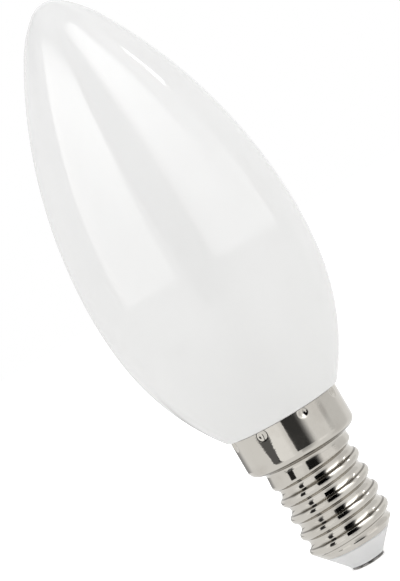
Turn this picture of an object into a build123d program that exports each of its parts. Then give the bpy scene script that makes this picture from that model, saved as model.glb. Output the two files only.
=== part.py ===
from build123d import *
from math import acos, asin, atan2, cos, degrees, hypot, radians, sin, sqrt
import os

# LED candle lamp: a sealed opal glass bulb cemented into a small rolled screw cap.
# Millimetres. The origin is the centre of the end contact's flat face, and +Z runs
# along the lamp's axis to the tip of the glass.

# Glass, outside
lamp_length = 95.0
belly_height = 50.5
belly_radius = 17.27
upper_arc_slack = 1.05  # above 1 leaves room for a blend between the upper arc and the tip
blend_share = 0.25  # the blend's radius as a share of the upper arc's
tip_radius = 4.0
lower_arc_radius = 54.5
lower_arc_degrees = 7.6
glass_overhang = 0.5
glass_edge_round = 0.3

# Glass, the neck inside the collar and the stem's hollow foot
neck_radius = 7.8
neck_length = 4.9
neck_edge_round = 0.5
flare_mouth_radius = 4.6
flare_throat_radius = 2.7
flare_throat_depth = 5.6
flare_length = 12.6
exhaust_stub_radius = 0.9
exhaust_stub_length = 8.0

# Cap shell: thin nickel-plated brass sheet, drawn and rolled
sheet = 0.25
collar_radius = 8.87
rim_height = 25.45
collar_height = 6.6
collar_corner_round = 1.3
shoulder_slope = 0.3
shoulder_fillet = 0.6
waist_depth = 0.13
waist_height = 0.6
waist_taper_height = 1.6
foot_radius = 5.5
foot_height = 3.6
foot_slope = 1.15
foot_round = 0.6
foot_edge_width = 0.2

# Rolled thread: root and crest arcs that meet on the flanks
thread_pitch = 2.822
thread_crest_radius = 6.94
thread_depth = 0.8
thread_root_share = 0.54  # the root's share of the pitch
thread_land = 0.05
groove_fade = 0.4
groove_start_degrees = -162.0
groove_run_out = 1.95
groove_overcut = 0.5

# Staked dimples that lock the collar into the cement
dimple_count = 8
dimple_radius = 0.7
dimple_depth = 0.3
dimple_lip = 0.7
dimple_below_rim = 0.62
dimple_first_degrees = -73.5

# Insulator and end contact
fit = 0.05
contact_radius = 2.65
contact_thickness = 0.5
contact_brim_thickness = 0.32
contact_seat_radius = 2.1
contact_round = 0.15
contact_pin_radius = 0.9
contact_pin_top = 3.6
insulator_tip_radius = 2.85
insulator_tip_land = 0.12
insulator_wall_radius = 5.7
insulator_top = 7.4
insulator_cup_radius = 4.1
insulator_cup_floor = 4.7

# Driver board and what is on it
board_width = 9.6
board_thickness = 1.0
board_bottom = 6.5
board_top = 18.4
capacitor_radius = 2.0
capacitor_length = 6.8
capacitor_bottom = 8.4
rectifier_size = (4.7, 1.5, 3.9)
rectifier_height = 11.2
chip_size = (3.9, 1.4, 4.9)
chip_height = 15.7
leg_width = 0.5
leg_thickness = 0.2
leg_reach = 0.7
inductor_radius = 1.2
inductor_length = 2.6
inductor_side = 3.4
inductor_height = 14.8

# Wires
lead_radius = 0.3
lead_bend = 0.6
lead_side = 2.6
lead_pad_height = 8.6
lead_run_height = 5.8
neutral_run_height = 7.95
bulb_lead_radius = 0.2
bulb_lead_side = 1.8
bulb_lead_length = 16.5

# Worked out from the sizes above
root_radius = thread_crest_radius - thread_depth
thread_arcs = (thread_pitch ** 2 / 4 + thread_depth ** 2) / (2 * thread_depth)
thread_flank = asin(thread_pitch / 2 / thread_arcs)
root_arc_radius = thread_arcs * thread_root_share
crest_arc_radius = thread_arcs - root_arc_radius
shoulder_height = rim_height - collar_height
groove_start_height = foot_height + foot_slope * (root_radius - foot_radius) - groove_fade
groove_turns = (shoulder_height - groove_run_out - groove_start_height) / thread_pitch
foot_hole_radius = foot_radius - foot_edge_width
board_face = board_thickness / 2
glass_seat_height = rim_height + 2 * fit
neck_end_height = rim_height - neck_length
flare_top_height = neck_end_height + flare_length


def turned(outline):
    """Turns a closed half outline, given as radius and height, round the axis."""
    return revolve(Plane.XZ * make_face(outline), Axis.Z)


def arc(center, radius, start, end):
    return CenterArc(center, radius, start, end - start)


def along(center, radius, angle):
    return (center[0] + radius * cos(radians(angle)), center[1] + radius * sin(radians(angle)))


def glass_curve(shoulder_end):
    """The glass from its tip to the shoulder above the rim, as five tangent arcs."""
    rise = lamp_length - belly_height
    tip_center = (0, lamp_length - tip_radius)
    no_blend = (belly_radius ** 2 + rise ** 2 - 2 * rise * tip_radius) / (2 * (belly_radius - tip_radius))
    upper_radius = no_blend * upper_arc_slack
    blend_radius = upper_radius * blend_share
    upper_center = (belly_radius - upper_radius, belly_height)
    run = (tip_center[0] - upper_center[0], tip_center[1] - upper_center[1])
    reach = hypot(*run)
    swing = upper_radius - blend_radius
    spread = acos((reach ** 2 + swing ** 2 - (blend_radius - tip_radius) ** 2) / (2 * reach * swing))
    upper_angle = degrees(atan2(run[1], run[0]) - spread)
    blend_center = along(upper_center, swing, upper_angle)
    tip_angle = degrees(atan2(tip_center[1] - blend_center[1], -blend_center[0]))
    lower_center = (belly_radius - lower_arc_radius, belly_height)
    lower = arc(lower_center, lower_arc_radius, 0, -lower_arc_degrees)
    return [
        arc(tip_center, tip_radius, 90, tip_angle),
        arc(blend_center, blend_radius, tip_angle, upper_angle),
        arc(upper_center, upper_radius, upper_angle, 0),
        lower,
        TangentArc(lower @ 1, shoulder_end, tangent=lower % 1),
    ]


def glass_bulb():
    shoulder_end = (collar_radius + glass_overhang, glass_seat_height)
    stub_end = flare_top_height - exhaust_stub_length
    foot = FilletPolyline(
        shoulder_end,
        (neck_radius, glass_seat_height),
        (neck_radius, neck_end_height),
        (flare_mouth_radius, neck_end_height),
        (flare_throat_radius, neck_end_height + flare_throat_depth),
        (flare_throat_radius, flare_top_height),
        (exhaust_stub_radius, flare_top_height),
        (exhaust_stub_radius, stub_end),
        (0, stub_end),
        radius=[glass_edge_round, neck_edge_round, neck_edge_round, 2.0, 0.8, 0.4, 0.5],
    )
    axis_line = Line((0, stub_end), (0, lamp_length))
    bulb = turned(glass_curve(shoulder_end) + [foot, axis_line])
    rim_edge = bulb.edges().filter_by(GeomType.CIRCLE).filter_by(
        lambda e: abs(e.radius - shoulder_end[0]) < 0.01
    )
    return fillet(rim_edge, glass_edge_round)


def cap_outline(inset, low, high):
    """The cap's blank before rolling, or its inside when inset is the sheet's thickness."""
    crest = thread_crest_radius - inset
    waist = crest - waist_depth
    collar = collar_radius - inset
    foot_shift = foot_height + inset * sqrt(1 + foot_slope ** 2)
    shoulder_shift = shoulder_height + inset * sqrt(1 + shoulder_slope ** 2)
    start = foot_hole_radius if inset else foot_radius
    wall = FilletPolyline(
        (start, foot_shift + foot_slope * (start - foot_radius)),
        (crest, foot_shift + foot_slope * (crest - foot_radius)),
        (crest, shoulder_height - waist_height - waist_taper_height),
        (waist, shoulder_height - waist_height),
        (waist, shoulder_shift + shoulder_slope * (waist - thread_crest_radius)),
        (collar, shoulder_shift + shoulder_slope * (collar - thread_crest_radius)),
        (collar, high),
        radius=[
            foot_round - inset,
            waist_taper_height * 1.5,
            waist_taper_height * 1.5,
            shoulder_fillet + inset,
            collar_corner_round - inset,
        ],
    )
    close = Polyline((collar, high), (0, high), (0, low), (start, low))
    if inset:
        return [wall, close, Line((start, low), wall @ 0)]
    return [wall, close]


def thread_groove(inset):
    """The rolled groove, swept along its helix. It fades out on the foot's cone and ends rounded above."""
    root_arc = root_arc_radius + inset
    crest_arc = crest_arc_radius - inset
    lip = (thread_pitch - thread_land) / 2
    lip_angle = asin((thread_pitch / 2 - lip) / crest_arc)
    mid_angle = (thread_flank + lip_angle) / 2
    root_center = root_radius + root_arc_radius
    crest_center = thread_crest_radius - crest_arc_radius
    deepest = (root_center - root_arc, 0)
    on_root = (root_center - root_arc * cos(thread_flank / 2), root_arc * sin(thread_flank / 2))
    flank = (root_center - root_arc * cos(thread_flank), root_arc * sin(thread_flank))
    on_crest = (crest_center + crest_arc * cos(mid_angle), thread_pitch / 2 - crest_arc * sin(mid_angle))
    top = (crest_center + crest_arc * cos(lip_angle), lip)
    outside = thread_crest_radius + groove_overcut
    half = [
        ThreePointArc(deepest, on_root, flank),
        ThreePointArc(flank, on_crest, top),
        Polyline(top, (outside, lip), (outside, 0)),
    ]
    whole = half + [mirror(piece, Plane.XZ) for piece in half]
    section = Plane.XZ * make_face(whole)
    helix = Helix(thread_pitch, thread_pitch * groove_turns, root_radius)
    rise = thread_pitch * groove_turns
    groove = sweep(section, path=helix, is_frenet=True)
    half_face = make_face(half + [Line((outside, 0), deepest)])
    rounded_end = mirror(revolve(Plane.XZ * half_face, Axis.X, 180), Plane.XZ)
    groove += Pos(0, 0, rise) * Rot(0, 0, 360 * groove_turns) * rounded_end
    return Pos(0, 0, groove_start_height) * Rot(0, 0, groove_start_degrees) * groove


def dimples(inset):
    ball = (dimple_radius ** 2 + dimple_depth ** 2) / (2 * dimple_depth)
    center = collar_radius - dimple_depth + ball
    balls = Part()
    for number in range(dimple_count):
        turn = dimple_first_degrees - 90 + number * 360 / dimple_count
        place = Rot(0, 0, turn) * Pos(center, 0, rim_height - dimple_below_rim)
        balls += place * Sphere(ball + inset)
    return balls


def cap_shell():
    """The sheet between the outer form and the inner one. Both stand over the rim until it is trimmed."""
    above = rim_height + 2 * (dimple_radius + dimple_lip)
    blank = turned(cap_outline(0, foot_height, above)) - dimples(0)
    blank = fillet(blank.edges().filter_by(GeomType.BSPLINE), dimple_lip)
    hollow = turned(cap_outline(sheet, foot_height - 1, above + 1)) - dimples(sheet)
    shell = (blank - thread_groove(0)) - (hollow - thread_groove(sheet))
    return split(shell, bisect_by=Plane.XY.offset(rim_height), keep=Keep.BOTTOM)


def basing_cement():
    gap_top = rim_height - dimple_below_rim / 3
    gap_bottom = shoulder_height + sheet + collar_corner_round + 1.2
    ring = turned(Polyline(
        (neck_radius + fit, gap_bottom),
        (collar_radius - sheet - fit, gap_bottom),
        (collar_radius - sheet - fit, gap_top),
        (neck_radius + fit, gap_top),
        close=True,
    ))
    return ring - dimples(sheet + fit)


def insulator():
    lift = fit * sqrt(1 + foot_slope ** 2)
    tip_top = contact_thickness + insulator_tip_land
    inner_shift = foot_height + sheet * sqrt(1 + foot_slope ** 2) + lift
    hole = foot_hole_radius - fit
    edge_height = foot_height + foot_slope * (hole - foot_radius)
    body = turned(Polyline(
        (0, contact_thickness),
        (insulator_tip_radius, contact_thickness),
        (insulator_tip_radius, tip_top),
        (hole, edge_height),
        (hole, inner_shift + foot_slope * (hole - foot_radius)),
        (insulator_wall_radius, inner_shift + foot_slope * (insulator_wall_radius - foot_radius)),
        (insulator_wall_radius, insulator_top),
        (insulator_cup_radius, insulator_top),
        (insulator_cup_radius, insulator_cup_floor),
        (0, insulator_cup_floor),
        close=True,
    ))
    low = (Align.CENTER, Align.CENTER, Align.MIN)
    bore = Cylinder(contact_pin_radius + fit, insulator_top, align=low)
    slot = Box(board_width + 2 * fit, board_thickness + 2 * fit, insulator_top, align=low)
    return body - bore - Pos(0, 0, board_bottom - fit) * slot


def end_contact():
    """The contact disc with a thinner brim, so that a fine gap shows under the insulator, and its pin."""
    disc = turned(Polyline(
        (0, 0),
        (contact_radius, 0),
        (contact_radius, contact_brim_thickness),
        (contact_seat_radius, contact_brim_thickness),
        (contact_seat_radius, contact_thickness),
        (contact_pin_radius, contact_thickness),
        (contact_pin_radius, contact_pin_top),
        (0, contact_pin_top),
        close=True,
    ))
    rims = disc.edges().filter_by(GeomType.CIRCLE)
    return fillet([rims.sort_by(Axis.Z)[0], rims.sort_by(Axis.Z)[-1]], contact_round)


def driver_board():
    low = (Align.CENTER, Align.CENTER, Align.MIN)
    board = Box(board_width, board_thickness, board_top - board_bottom, align=low)
    return Pos(0, 0, board_bottom) * chamfer(board.edges().filter_by(Axis.Y), 0.4)


def smoothing_capacitor():
    """A small radial electrolytic can that lies upright on the board's front."""
    can = Cylinder(capacitor_radius, capacitor_length, align=(Align.CENTER, Align.CENTER, Align.MIN))
    can = fillet(can.edges().filter_by(GeomType.CIRCLE), 0.3)
    seat = Pos(0, -board_face - fit - capacitor_radius, capacitor_bottom)
    return seat * can


def legged_chip(size, height, legs):
    """A moulded chip on the board's back, with rows of bent legs on both sides."""
    wide, deep, tall = size
    back = board_face + fit
    body = Pos(0, back + leg_thickness + deep / 2, height) * Box(wide, deep, tall)
    body = chamfer(body.edges().filter_by(Axis.Z), 0.2)
    pitch = tall / legs
    for side in (-1, 1):
        for number in range(legs):
            z = height + (number - (legs - 1) / 2) * pitch
            x = side * (wide / 2 + leg_reach / 2)
            foot = Pos(x, back + leg_thickness / 2, z)
            rise = Pos(side * (wide / 2 + leg_thickness / 2), back + deep / 3, z)
            body += foot * Box(leg_reach, leg_thickness, leg_width)
            body += rise * Box(leg_thickness, deep / 3 * 2, leg_width)
    return body


def inductor():
    """A drum choke: a waisted core between two flanges, wound flush."""
    flange = inductor_length / 6
    outline = Polyline(
        (0, 0),
        (inductor_radius, 0),
        (inductor_radius, flange),
        (inductor_radius * 0.85, flange),
        (inductor_radius * 0.85, inductor_length - flange),
        (inductor_radius, inductor_length - flange),
        (inductor_radius, inductor_length),
        (0, inductor_length),
        close=True,
    )
    seat = Pos(inductor_side, -board_face - fit, inductor_height)
    return seat * Rot(90, 0, 0) * turned(outline)


def bent_wire(points, radius):
    path = FilletPolyline(*points, radius=lead_bend)
    return sweep(Plane(path @ 0, z_dir=path % 0) * Circle(radius), path=path)


def line_lead():
    beside = board_face + fit + lead_radius
    return bent_wire(
        [
            (lead_side, beside, lead_pad_height),
            (lead_side, beside, lead_run_height),
            (0, 0, lead_run_height - 0.7),
            (0, 0, contact_pin_top + fit),
        ],
        lead_radius,
    )


def neutral_lead():
    beside = board_face + fit + lead_radius
    reach = root_radius - sheet - fit
    return bent_wire(
        [
            (-lead_side, beside, lead_pad_height + 1),
            (-lead_side, beside, neutral_run_height),
            (-sqrt(reach ** 2 - (beside + lead_radius) ** 2), beside, neutral_run_height),
        ],
        lead_radius,
    )


def bulb_lead(side):
    beside = -board_face - fit - bulb_lead_radius
    high = (Align.CENTER, Align.CENTER, Align.MAX)
    wire = Cylinder(bulb_lead_radius, bulb_lead_length, align=high)
    return Pos(side * bulb_lead_side, beside, flare_top_height - fit) * wire


pieces = {
    "glass_bulb": glass_bulb(),
    "cap_shell": cap_shell(),
    "basing_cement": basing_cement(),
    "insulator": insulator(),
    "end_contact": end_contact(),
    "driver_board": driver_board(),
    "smoothing_capacitor": smoothing_capacitor(),
    "bridge_rectifier": legged_chip(rectifier_size, rectifier_height, 2),
    "driver_chip": legged_chip(chip_size, chip_height, 4),
    "inductor": inductor(),
    "line_lead": line_lead(),
    "neutral_lead": neutral_lead(),
    "bulb_lead_left": bulb_lead(-1),
    "bulb_lead_right": bulb_lead(1),
}

os.makedirs("parts", exist_ok=True)
for name, shape in pieces.items():
    export_step(shape, f"parts/{name}.step")
    print(name, round(shape.volume, 3), shape.is_valid)
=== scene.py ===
import bpy
import math
from mathutils import Matrix, Vector

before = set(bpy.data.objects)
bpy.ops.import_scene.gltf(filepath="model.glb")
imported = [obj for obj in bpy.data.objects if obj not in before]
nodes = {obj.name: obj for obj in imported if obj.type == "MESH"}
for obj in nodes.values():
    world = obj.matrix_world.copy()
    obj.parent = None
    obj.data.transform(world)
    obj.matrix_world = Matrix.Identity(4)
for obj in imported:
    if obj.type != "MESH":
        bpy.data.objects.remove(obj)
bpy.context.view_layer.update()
mm = 0.001
bpy.ops.object.select_all(action="DESELECT")
print("frame loaded:", len(nodes), "nodes")


# sRGB hex to the linear colour that the shaders want
def fromHex(text):
    channels = [int(text[i:i + 2], 16) / 255 for i in (1, 3, 5)]
    linear = [c / 12.92 if c <= 0.04045 else ((c + 0.055) / 1.055) ** 2.4 for c in channels]
    return (*linear, 1.0)


# adds one node, sets it and links what it is given
def addNode(tree, kind, inputs=None, **settings):
    node = tree.nodes.new(kind)
    for name, value in settings.items():
        setattr(node, name, value)
    for socket, value in (inputs or {}).items():
        if isinstance(value, bpy.types.NodeSocket):
            tree.links.new(value, node.inputs[socket])
        else:
            node.inputs[socket].default_value = value
    return node


def emptyMaterial(name):
    material = bpy.data.materials.new(name)
    material.use_nodes = True
    material.node_tree.nodes.clear()
    return material, material.node_tree


def dress(nodeName, material):
    nodes[nodeName].material_slots[0].material = material


# the shares of a soft noise between which one tone turns into the other
toneFrom, toneTo = 0.35, 0.65

# opal glass: blown clear glass, flashed white on the inside, so a hard clear gloss lies over a milky white
opalGlass = {
    "milk": "#EAEAEA",           # the white coat
    "thinMilk": "#E8E8E8",       # where the coat is a little thinner
    "cloudMm": 16,               # the coat's cloudiness
    "cloudDetail": 2.0,
    "cloudRoughness": 0.4,
    "ior": 1.5,
    "roughness": 0.035,
    "waveMm": 11,                # slow waves left by blowing
    "waveDepthMm": 0.008,
}


def makeOpalGlass():
    material, tree = emptyMaterial("opalGlass")
    place = addNode(tree, "ShaderNodeTexCoord").outputs["Object"]
    cloud = addNode(tree, "ShaderNodeTexNoise", {
        "Vector": place, "Scale": 1 / (opalGlass["cloudMm"] * mm),
        "Detail": opalGlass["cloudDetail"], "Roughness": opalGlass["cloudRoughness"]})
    soft = addNode(tree, "ShaderNodeMapRange", {
        "Value": cloud.outputs["Fac"], "From Min": toneFrom, "From Max": toneTo}, interpolation_type="SMOOTHSTEP")
    milk = addNode(tree, "ShaderNodeMix", {
        "Factor": soft.outputs["Result"],
        "A": fromHex(opalGlass["milk"]), "B": fromHex(opalGlass["thinMilk"])}, data_type="RGBA")
    wave = addNode(tree, "ShaderNodeTexNoise", {
        "Vector": place, "Scale": 1 / (opalGlass["waveMm"] * mm), "Detail": 0.0})
    blown = addNode(tree, "ShaderNodeBump", {
        "Height": wave.outputs["Fac"], "Strength": 1.0, "Distance": opalGlass["waveDepthMm"] * mm})
    shader = addNode(tree, "ShaderNodeBsdfPrincipled", {
        "Base Color": milk.outputs["Result"], "Normal": blown.outputs["Normal"],
        "Roughness": opalGlass["roughness"], "IOR": opalGlass["ior"]})
    addNode(tree, "ShaderNodeOutputMaterial", {"Surface": shader.outputs["BSDF"]})
    return material


dress("glass_bulb", makeOpalGlass())
print("glass dressed")


# bright nickel plate on drawn and rolled brass: a warm grey mirror with a faint pebble and a little haze. The steep
# flanks of the thread and the shoulder's corner are painted dark: painted shade for the dark lines that fall there
nickelPlate = {
    "bright": "#D8D4CC",
    "hazy": "#CFCAC2",
    "paintedFlankShade": "#77726A",
    "steepFrom": 0.68,           # how far the surface faces up or down, from 0 to 1
    "steepTo": 0.82,
    "hazeMm": 5,
    "hazeDetail": 5.0,
    "hazeRoughness": 0.6,
    "hazeFrom": 0.42,            # shares of the haze's noise: below it the plate is bright, above hazeTo hazy
    "hazeTo": 0.68,
    "roughness": 0.035,
    "hazyRoughness": 0.11,
    "pebbleMm": 0.3,             # the real pebble is about 0.05 mm, drawn coarser so that it shows
    "pebbleDepthMm": 0.0025,
    "handledMm": 2.4,            # soft unevenness of thin sheet
    "handledDepthMm": 0.006,
}


def makeNickelPlate():
    material, tree = emptyMaterial("brightNickelPlate")
    place = addNode(tree, "ShaderNodeTexCoord").outputs["Object"]
    haze = addNode(tree, "ShaderNodeTexNoise", {
        "Vector": place, "Scale": 1 / (nickelPlate["hazeMm"] * mm),
        "Detail": nickelPlate["hazeDetail"], "Roughness": nickelPlate["hazeRoughness"]})
    amount = addNode(tree, "ShaderNodeMapRange", {
        "Value": haze.outputs["Fac"], "From Min": nickelPlate["hazeFrom"], "From Max": nickelPlate["hazeTo"]},
        interpolation_type="SMOOTHSTEP")
    polished = addNode(tree, "ShaderNodeMix", {
        "Factor": amount.outputs["Result"],
        "A": fromHex(nickelPlate["bright"]), "B": fromHex(nickelPlate["hazy"])}, data_type="RGBA")
    facing = addNode(tree, "ShaderNodeSeparateXYZ", {
        "Vector": addNode(tree, "ShaderNodeTexCoord").outputs["Normal"]}).outputs["Z"]
    paintedShadeMask = addNode(tree, "ShaderNodeMapRange", {
        "Value": addNode(tree, "ShaderNodeMath", {0: facing}, operation="ABSOLUTE").outputs["Value"],
        "From Min": nickelPlate["steepFrom"], "From Max": nickelPlate["steepTo"]}, interpolation_type="SMOOTHSTEP")
    # painted shade: the plate turns dark grey where it faces steeply up or down, on the thread's flanks and the
    # shoulder's corner
    colour = addNode(tree, "ShaderNodeMix", {
        "Factor": paintedShadeMask.outputs["Result"],
        "A": polished.outputs["Result"], "B": fromHex(nickelPlate["paintedFlankShade"])}, data_type="RGBA")
    gloss = addNode(tree, "ShaderNodeMapRange", {
        "Value": amount.outputs["Result"],
        "To Min": nickelPlate["roughness"], "To Max": nickelPlate["hazyRoughness"]})
    pebble = addNode(tree, "ShaderNodeTexNoise", {
        "Vector": place, "Scale": 1 / (nickelPlate["pebbleMm"] * mm), "Detail": 1.0})
    pebbled = addNode(tree, "ShaderNodeBump", {
        "Height": pebble.outputs["Fac"], "Strength": 1.0, "Distance": nickelPlate["pebbleDepthMm"] * mm})
    dent = addNode(tree, "ShaderNodeTexNoise", {
        "Vector": place, "Scale": 1 / (nickelPlate["handledMm"] * mm), "Detail": 1.0})
    handled = addNode(tree, "ShaderNodeBump", {
        "Height": dent.outputs["Fac"], "Strength": 1.0, "Distance": nickelPlate["handledDepthMm"] * mm,
        "Normal": pebbled.outputs["Normal"]})
    shader = addNode(tree, "ShaderNodeBsdfPrincipled", {
        "Base Color": colour.outputs["Result"], "Metallic": 1.0, "Roughness": gloss.outputs["Result"],
        "Normal": handled.outputs["Normal"]})
    addNode(tree, "ShaderNodeOutputMaterial", {"Surface": shader.outputs["BSDF"]})
    return material


dress("cap_shell", makeNickelPlate())
print("cap shell dressed")


glossFrom, glossTo = 0.3, 0.7    # shares of the grain's noise between which the gloss changes
glossPlay = 0.05                 # how far it strays to either side


# a plain moulded, printed or drawn stuff: two near colours, a grain of its own size and a matching gloss
def makeStuff(name, look):
    material, tree = emptyMaterial(name)
    place = addNode(tree, "ShaderNodeTexCoord").outputs["Object"]
    grain = addNode(tree, "ShaderNodeTexNoise", {
        "Vector": place, "Scale": 1 / (look["grainMm"] * mm), "Detail": 3.0})
    cloud = addNode(tree, "ShaderNodeTexNoise", {
        "Vector": place, "Scale": 1 / (look["cloudMm"] * mm), "Detail": 2.0})
    spread = addNode(tree, "ShaderNodeMapRange", {
        "Value": cloud.outputs["Fac"], "From Min": toneFrom, "From Max": toneTo}, interpolation_type="SMOOTHSTEP")
    colour = addNode(tree, "ShaderNodeMix", {
        "Factor": spread.outputs["Result"],
        "A": fromHex(look["colour"]), "B": fromHex(look["shade"])}, data_type="RGBA")
    gloss = addNode(tree, "ShaderNodeMapRange", {
        "Value": grain.outputs["Fac"], "From Min": glossFrom, "From Max": glossTo,
        "To Min": look["roughness"] - glossPlay, "To Max": look["roughness"] + glossPlay})
    relief = addNode(tree, "ShaderNodeBump", {
        "Height": grain.outputs["Fac"], "Strength": 1.0, "Distance": look["grainDepthMm"] * mm})
    shader = addNode(tree, "ShaderNodeBsdfPrincipled", {
        "Base Color": colour.outputs["Result"], "Roughness": gloss.outputs["Result"],
        "Metallic": look.get("metallic", 0.0), "Normal": relief.outputs["Normal"]})
    addNode(tree, "ShaderNodeOutputMaterial", {"Surface": shader.outputs["BSDF"]})
    return material


# white thermoset moulding, satin from the tool
insulatorMoulding = {
    "colour": "#EEEEEF", "shade": "#EAEAEB", "cloudMm": 3, "grainMm": 0.25, "grainDepthMm": 0.003, "roughness": 0.38}
dress("insulator", makeStuff("whiteThermosetMoulding", insulatorMoulding))

# tinned brass, dipped: a dull silver skin
tinnedDisc = {
    "colour": "#9C9A97", "shade": "#84827E", "cloudMm": 1.4, "grainMm": 0.3, "grainDepthMm": 0.004,
    "roughness": 0.27, "metallic": 1.0}
dress("end_contact", makeStuff("dippedTin", tinnedDisc))

# what lies inside the cap, out of sight
insideLooks = {
    # basing cement, baked in the collar: dry, chalky and matt
    "basing_cement": ("basingCement", {
        "colour": "#DCD8CC", "shade": "#CFCABC", "cloudMm": 2, "grainMm": 0.2, "grainDepthMm": 0.02,
        "roughness": 0.85}),
    # glass-fibre laminate under solder mask: a satin green skin
    "driver_board": ("solderMaskedLaminate", {
        "colour": "#1F5C39", "shade": "#1A4F31", "cloudMm": 2, "grainMm": 0.5, "grainDepthMm": 0.004,
        "roughness": 0.4}),
    # plastic sleeve, shrunk on: smooth, dark and shiny
    "smoothing_capacitor": ("shrinkSleeve", {
        "colour": "#14161F", "shade": "#101219", "cloudMm": 3, "grainMm": 0.6, "grainDepthMm": 0.002,
        "roughness": 0.3}),
    # moulded epoxy: black and matt, with the mould's fine grain
    "bridge_rectifier": ("mouldedEpoxy", {
        "colour": "#1B1B1C", "shade": "#161617", "cloudMm": 1, "grainMm": 0.1, "grainDepthMm": 0.004,
        "roughness": 0.6}),
    # pressed and sintered ferrite: dark grey, gritty and matt
    "inductor": ("sinteredFerrite", {
        "colour": "#3A3735", "shade": "#2E2B2A", "cloudMm": 1, "grainMm": 0.12, "grainDepthMm": 0.006,
        "roughness": 0.7}),
    # drawn copper wire, tinned: a soft bright silver
    "line_lead": ("tinnedCopperWire", {
        "colour": "#CBC9C4", "shade": "#B9B6B0", "cloudMm": 1, "grainMm": 0.15, "grainDepthMm": 0.002,
        "roughness": 0.3, "metallic": 1.0}),
}
# pieces that share another piece's material
alike = {
    "driver_chip": "bridge_rectifier",
    "neutral_lead": "line_lead",
    "bulb_lead_left": "line_lead",
    "bulb_lead_right": "line_lead",
}
for nodeName, (stuffName, look) in insideLooks.items():
    stuff = makeStuff(stuffName, look)
    dress(nodeName, stuff)
    for other, like in alike.items():
        if like == nodeName:
            dress(other, stuff)
print("insulator, contact and inner pieces dressed")


# the studio round the lamp; azimuth 0 is the camera's side and grows towards +X
lampMiddle = 0.05                # height the lamps are aimed at


def aroundLamp(azimuth, distance, height):
    turn = math.radians(azimuth)
    return Vector((distance * math.sin(turn), -distance * math.cos(turn), height))


def onlyReflected(piece):
    piece.visible_camera = False
    piece.visible_diffuse = False
    piece.visible_transmission = False
    piece.visible_volume_scatter = False
    piece.visible_shadow = False


# a wide tent that only reflections see: pale all round, with a dark ceiling
lightTent = {
    "radius": 7.0,
    "segments": 48,
    "rings": 32,
    "wall": 0.85,
    "ceiling": 0.13,
    "ceilingFrom": 0.7,          # shares of the radius above lampMiddle where the ceiling begins and is full
    "ceilingTo": 0.86,
}


def addTent():
    bpy.ops.mesh.primitive_uv_sphere_add(
        radius=lightTent["radius"], segments=lightTent["segments"], ring_count=lightTent["rings"],
        location=(0, 0, lampMiddle))
    tent = bpy.context.object
    tent.name = "lightTent"
    material, tree = emptyMaterial("lightTent")
    outward = addNode(tree, "ShaderNodeVectorMath", {
        0: addNode(tree, "ShaderNodeTexCoord").outputs["Object"]}, operation="NORMALIZE")
    rise = addNode(tree, "ShaderNodeSeparateXYZ", {"Vector": outward.outputs["Vector"]}).outputs["Z"]
    power = addNode(tree, "ShaderNodeMapRange", {
        "Value": rise, "From Min": lightTent["ceilingFrom"], "From Max": lightTent["ceilingTo"],
        "To Min": lightTent["wall"], "To Max": lightTent["ceiling"]}, interpolation_type="SMOOTHSTEP")
    glow = addNode(tree, "ShaderNodeEmission", {"Strength": power.outputs["Result"]})
    addNode(tree, "ShaderNodeOutputMaterial", {"Surface": glow.outputs["Emission"]})
    tent.data.materials.append(material)
    onlyReflected(tent)


panelHeight = 0.012              # the cap's height, which the panels' degrees are seen from
panelRows = 24
plainPanel = {"footWidth": 1.0, "lean": 0.0, "bend": 1, "riseFrom": 0.0, "riseTo": 1.0}


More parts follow.
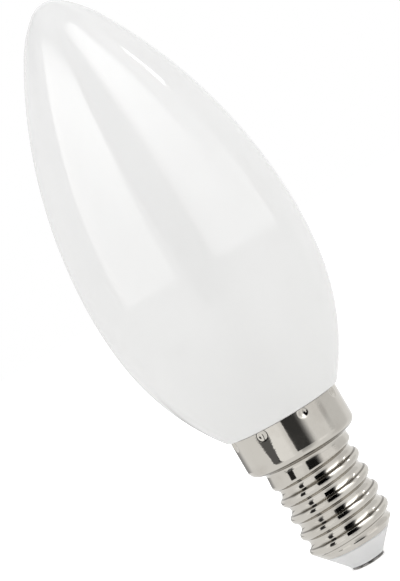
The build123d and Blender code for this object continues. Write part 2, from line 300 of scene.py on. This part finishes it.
# a panel that only reflections see. Its foot and top are degrees above the horizon and its width is a share of its
# distance. Its left, right, foot and top edges fade over the shares in soft, and its brightness turns from low to
# high between riseFrom and riseTo. It may taper to its foot, lean and bend. With "only" it is a see-through glow that
# one piece alone mirrors
def addPanel(name, look):
    panel = {**plainPanel, **look}
    distance = panel["distance"]
    foot, top = (distance * math.tan(math.radians(panel[end])) for end in ("foot", "top"))
    spot = aroundLamp(panel["azimuth"], distance, panelHeight + (top + foot) / 2)
    bpy.ops.mesh.primitive_grid_add(x_subdivisions=1, y_subdivisions=panelRows, size=1.0, location=spot)
    plane = bpy.context.object
    plane.name = name
    for vertex in plane.data.vertices:
        share = vertex.co.y + 0.5                       # 0 at the foot, 1 at the top
        vertex.co.x *= panel["footWidth"] + (1 - panel["footWidth"]) * share
        vertex.co.x += panel["lean"] * (1 - share ** panel["bend"])
    plane.scale = (panel["width"] * distance, top - foot, 1.0)
    plane.rotation_euler = (math.pi / 2, 0.0, math.radians(panel["azimuth"]))
    material, tree = emptyMaterial(name)
    flat = addNode(tree, "ShaderNodeSeparateXYZ", {"Vector": addNode(tree, "ShaderNodeTexCoord").outputs["UV"]})
    softLeft, softRight, softFoot, softTop = panel["soft"]
    mask = None
    for axis, near, far in (("X", softLeft, softRight), ("Y", softFoot, softTop)):
        rise = addNode(tree, "ShaderNodeMapRange", {
            "Value": flat.outputs[axis], "From Min": 0.0, "From Max": near}, interpolation_type="SMOOTHSTEP")
        fall = addNode(tree, "ShaderNodeMapRange", {
            "Value": flat.outputs[axis], "From Min": 1.0, "From Max": 1.0 - far}, interpolation_type="SMOOTHSTEP")
        both = addNode(tree, "ShaderNodeMath", {
            0: rise.outputs["Result"], 1: fall.outputs["Result"]}, operation="MULTIPLY").outputs["Value"]
        mask = both if mask is None else addNode(
            tree, "ShaderNodeMath", {0: mask, 1: both}, operation="MULTIPLY").outputs["Value"]
    power = addNode(tree, "ShaderNodeMapRange", {
        "Value": flat.outputs["Y"], "From Min": panel["riseFrom"], "From Max": panel["riseTo"],
        "To Min": panel["low"], "To Max": panel["high"]}, interpolation_type="SMOOTHSTEP")
    faded = addNode(tree, "ShaderNodeMath", {0: mask, 1: power.outputs["Result"]}, operation="MULTIPLY")
    glow = addNode(tree, "ShaderNodeEmission", {"Strength": faded.outputs["Value"]})
    clear = addNode(tree, "ShaderNodeBsdfTransparent")
    if "only" in panel:
        seers = bpy.data.collections.new(name + "Seers")
        seers.objects.link(nodes[panel["only"]])
        plane.light_linking.receiver_collection = seers
    else:
        through = addNode(tree, "ShaderNodeMapRange", {"Value": mask, "To Min": 1.0, "To Max": 0.0})
        tree.links.new(through.outputs["Result"], clear.inputs["Color"])
    shader = addNode(tree, "ShaderNodeAddShader", {0: clear.outputs["BSDF"], 1: glow.outputs["Emission"]})
    addNode(tree, "ShaderNodeOutputMaterial", {"Surface": shader.outputs["Shader"]})
    plane.data.materials.append(material)
    onlyReflected(plane)


panels = {
    # the two softboxes, and for each a glow that shows it brighter on the glass than on the cap
    "leftSoftbox": {
        "azimuth": -54.5, "distance": 1.2, "width": 1.45, "foot": -2, "top": 66,
        "soft": (0.2, 0.16, 0.06, 0.3), "low": 0.95, "high": 0.9, "riseFrom": 0.25, "riseTo": 0.52},
    "leftGlow": {
        "azimuth": -54.5, "distance": 0.6, "width": 1.32, "foot": 0.5, "top": 67, "only": "glass_bulb",
        "soft": (0.05, 0.05, 0.012, 0.5), "low": 1.0, "high": 2.5, "riseTo": 0.5},
    "rightSoftbox": {
        "azimuth": 46, "distance": 1.2, "width": 1.1, "foot": -3, "top": 73,
        "soft": (0.12, 0.25, 0.04, 0.45), "low": 1.0, "high": 3.1, "riseFrom": 0.03, "riseTo": 0.36},
    "rightGlow": {
        "azimuth": 58, "distance": 0.6, "width": 1.72, "foot": 0, "top": 67, "only": "glass_bulb",
        "soft": (0.04, 0.035, 0.012, 0.5), "low": 1.1, "high": 0.5, "riseTo": 0.3},
    # a narrow lamp high on the right: the thin highlight near the tip
    "thinLamp": {
        "azimuth": 99, "distance": 1.6, "width": 0.1, "foot": 30, "top": 41,
        "soft": (0.2, 0.2, 0.1, 0.1), "low": 9.0, "high": 9.0},
    # the dark room between the softboxes, with paler ground at its foot
    "darkGap": {
        "azimuth": 0, "distance": 0.8, "width": 1.41, "foot": -11.5, "top": 72.6,
        "footWidth": 0.63, "lean": 0.163, "soft": (0.03, 0.5, 0.012, 0.1),
        "low": 0.045, "high": 0.0, "riseFrom": 0.03, "riseTo": 0.09},
    "gapFoot": {
        "azimuth": 13, "distance": 0.9, "width": 0.79, "foot": -62, "top": -10,
        "soft": (0.25, 0.6, 0.5, 0.02), "low": 0.66, "high": 0.44, "riseFrom": 0.4},
    # a leaning dark stand by the left softbox, a fill that keeps it out of the glass, and its head beside the collar
    "darkStand": {
        "azimuth": -73.6, "distance": 0.7, "width": 0.36, "foot": -38, "top": 45,
        "footWidth": 0.9, "lean": 0.9, "bend": 2, "soft": (0.15, 0.1, 0.2, 0.1),
        "low": 0.3, "high": 0.02, "riseFrom": 0.1, "riseTo": 0.4},
    "standFill": {
        "azimuth": -73.6, "distance": 0.65, "width": 0.36, "foot": -38, "top": 45, "only": "glass_bulb",
        "footWidth": 0.9, "lean": 0.9, "bend": 2, "soft": (0.15, 0.1, 0.2, 0.1),
        "low": 0.6, "high": 0.85, "riseFrom": 0.1, "riseTo": 0.4},
    "standTop": {
        "azimuth": -56.6, "distance": 0.1, "width": 0.62, "foot": -4.5, "top": 1.5,
        "footWidth": 0.02, "soft": (0.15, 0.15, 0.1, 0.05), "low": 0.12, "high": 0.12},
    # the table in front, paler than the tent, and the duller rest of the room; brownSmudge is the dull patch on the
    # right of the collar
    "leftFront": {
        "azimuth": -34, "distance": 1.0, "width": 0.75, "foot": -48, "top": 0,
        "soft": (0.2, 0.3, 0.4, 0.02), "low": 0.93, "high": 1.0},
    "rightFront": {
        "azimuth": 46, "distance": 1.0, "width": 0.6, "foot": -40, "top": -8,
        "soft": (0.3, 0.4, 0.4, 0.15), "low": 0.95, "high": 1.0},
    "brownSmudge": {
        "azimuth": 70, "distance": 0.1, "width": 0.34, "foot": -4, "top": 2,
        "soft": (0.4, 0.4, 0.7, 0.1), "low": 0.6, "high": 0.56},
    "dullRight": {
        "azimuth": 98, "distance": 1.2, "width": 1.2, "foot": -50, "top": 25,
        "soft": (0.3, 0.3, 0.3, 0.3), "low": 0.76, "high": 0.71, "riseTo": 0.6},
    "rightBack": {
        "azimuth": 160, "distance": 1.2, "width": 0.9, "foot": -40, "top": 30,
        "soft": (0.5, 0.2, 0.3, 0.3), "low": 0.92, "high": 0.92},
    "leftCorner": {
        "azimuth": -150, "distance": 0.1, "width": 1.0, "foot": -5, "top": 1.5,
        "soft": (0.15, 0.5, 0.3, 0.15), "low": 0.34, "high": 0.3},
    "greySide": {
        "azimuth": -130, "distance": 1.1, "width": 1.3, "foot": 25, "top": 66,
        "soft": (0.2, 0.4, 0.35, 0.1), "low": 0.2, "high": 0.12},
}
addTent()
for panelName, panelLook in panels.items():
    addPanel(panelName, panelLook)
print("tent and panels placed")


# big soft lamps give the diffuse light; the panels above give the reflections
softLamps = {
    "softLeft": {"azimuth": -60, "distance": 1.0, "height": 0.8, "size": 1.0, "power": 5.0},
    "softRight": {"azimuth": 60, "distance": 1.0, "height": 0.8, "size": 1.0, "power": 5.2},
    "softTop": {"azimuth": 180, "distance": 0.5, "height": 1.2, "size": 1.0, "power": 4.0},
}
for lampName, lamp in softLamps.items():
    spot = aroundLamp(lamp["azimuth"], lamp["distance"], lamp["height"])
    bpy.ops.object.light_add(type="AREA", location=spot)
    light = bpy.context.object
    light.name = lampName
    light.data.energy = lamp["power"]
    light.data.size = lamp["size"]
    light.rotation_mode = "QUATERNION"
    light.rotation_quaternion = (Vector((0, 0, lampMiddle)) - spot).to_track_quat("-Z", "Y")
    light.visible_glossy = False
    light.visible_camera = False

# the world lights the lamp softly, and is plain white where the camera, gloss or clear stuff shows it
worldLight = {"plain": 0.62, "seen": 1.0, "colour": "#FFFFFF"}
world = bpy.data.worlds.new("whiteRoom")
bpy.context.scene.world = world
world.use_nodes = True
tree = world.node_tree
tree.nodes.clear()
path = addNode(tree, "ShaderNodeLightPath")
cameraOrGloss = addNode(tree, "ShaderNodeMath", {
    0: path.outputs["Is Camera Ray"], 1: path.outputs["Is Glossy Ray"]}, operation="MAXIMUM")
seen = addNode(tree, "ShaderNodeMath", {
    0: cameraOrGloss.outputs["Value"], 1: path.outputs["Is Transmission Ray"]}, operation="MAXIMUM")
level = addNode(tree, "ShaderNodeMapRange", {
    "Value": seen.outputs["Value"], "To Min": worldLight["plain"], "To Max": worldLight["seen"]})
sky = addNode(tree, "ShaderNodeBackground", {
    "Color": fromHex(worldLight["colour"]), "Strength": level.outputs["Result"]})
addNode(tree, "ShaderNodeOutputWorld", {"Surface": sky.outputs["Background"]})

# a pale floor that the camera sees as white, apart from the lamp's shadow, and looks through from below
paleFloor = {"size": 6.0, "colour": "#F3F3F1", "lift": 0.5}
bpy.ops.mesh.primitive_plane_add(size=paleFloor["size"], location=(0, 0, 0))
floor = bpy.context.object
floor.name = "paleFloor"
material, tree = emptyMaterial("palePaper")
path = addNode(tree, "ShaderNodeLightPath")
paper = addNode(tree, "ShaderNodeBsdfDiffuse", {"Color": fromHex(paleFloor["colour"])})
strength = addNode(tree, "ShaderNodeMath", {
    0: path.outputs["Is Camera Ray"], 1: paleFloor["lift"]}, operation="MULTIPLY")
lift = addNode(tree, "ShaderNodeEmission", {"Strength": strength.outputs["Value"]})
both = addNode(tree, "ShaderNodeAddShader", {0: paper.outputs["BSDF"], 1: lift.outputs["Emission"]})
fromBelow = addNode(tree, "ShaderNodeMath", {
    0: path.outputs["Is Camera Ray"], 1: addNode(tree, "ShaderNodeNewGeometry").outputs["Backfacing"]},
    operation="MULTIPLY")
oneSided = addNode(tree, "ShaderNodeMixShader", {
    0: fromBelow.outputs["Value"], 1: both.outputs["Shader"],
    2: addNode(tree, "ShaderNodeBsdfTransparent").outputs["BSDF"]})
addNode(tree, "ShaderNodeOutputMaterial", {"Surface": oneSided.outputs["Shader"]})
floor.data.materials.append(material)
floor.visible_glossy = False
print("lamps, world and floor placed")


# the photo looks a little down at the lamp and is turned, so that the lamp leans to the upper left
lookFrom = {
    "distance": 280 * mm,
    "aside": -1.38 * mm,
    "height": 55 * mm,
    "aimHeight": 47.1 * mm,
    "turn": 30.3,                # degrees
    "pictureTall": 85.44 * mm,   # height of the picture at the lamp's axis
    "sensor": 36.0,
    "nearest": 10 * mm,          # the camera shows nothing that is closer
}
eye = Vector((lookFrom["aside"], -lookFrom["distance"], lookFrom["height"]))
sight = Vector((lookFrom["aside"], 0, lookFrom["aimHeight"])) - eye
bpy.ops.object.camera_add(location=eye)
camera = bpy.context.object
camera.rotation_mode = "QUATERNION"
roll = Matrix.Rotation(math.radians(lookFrom["turn"]), 3, sight)
camera.rotation_quaternion = (roll @ sight.to_track_quat("-Z", "Y").to_matrix()).to_quaternion()
camera.data.sensor_width = lookFrom["sensor"]
camera.data.lens = lookFrom["sensor"] * lookFrom["distance"] / lookFrom["pictureTall"]
camera.data.clip_start = lookFrom["nearest"]
bpy.context.scene.camera = camera
bpy.context.scene.view_settings.view_transform = "Standard"
print("camera placed")
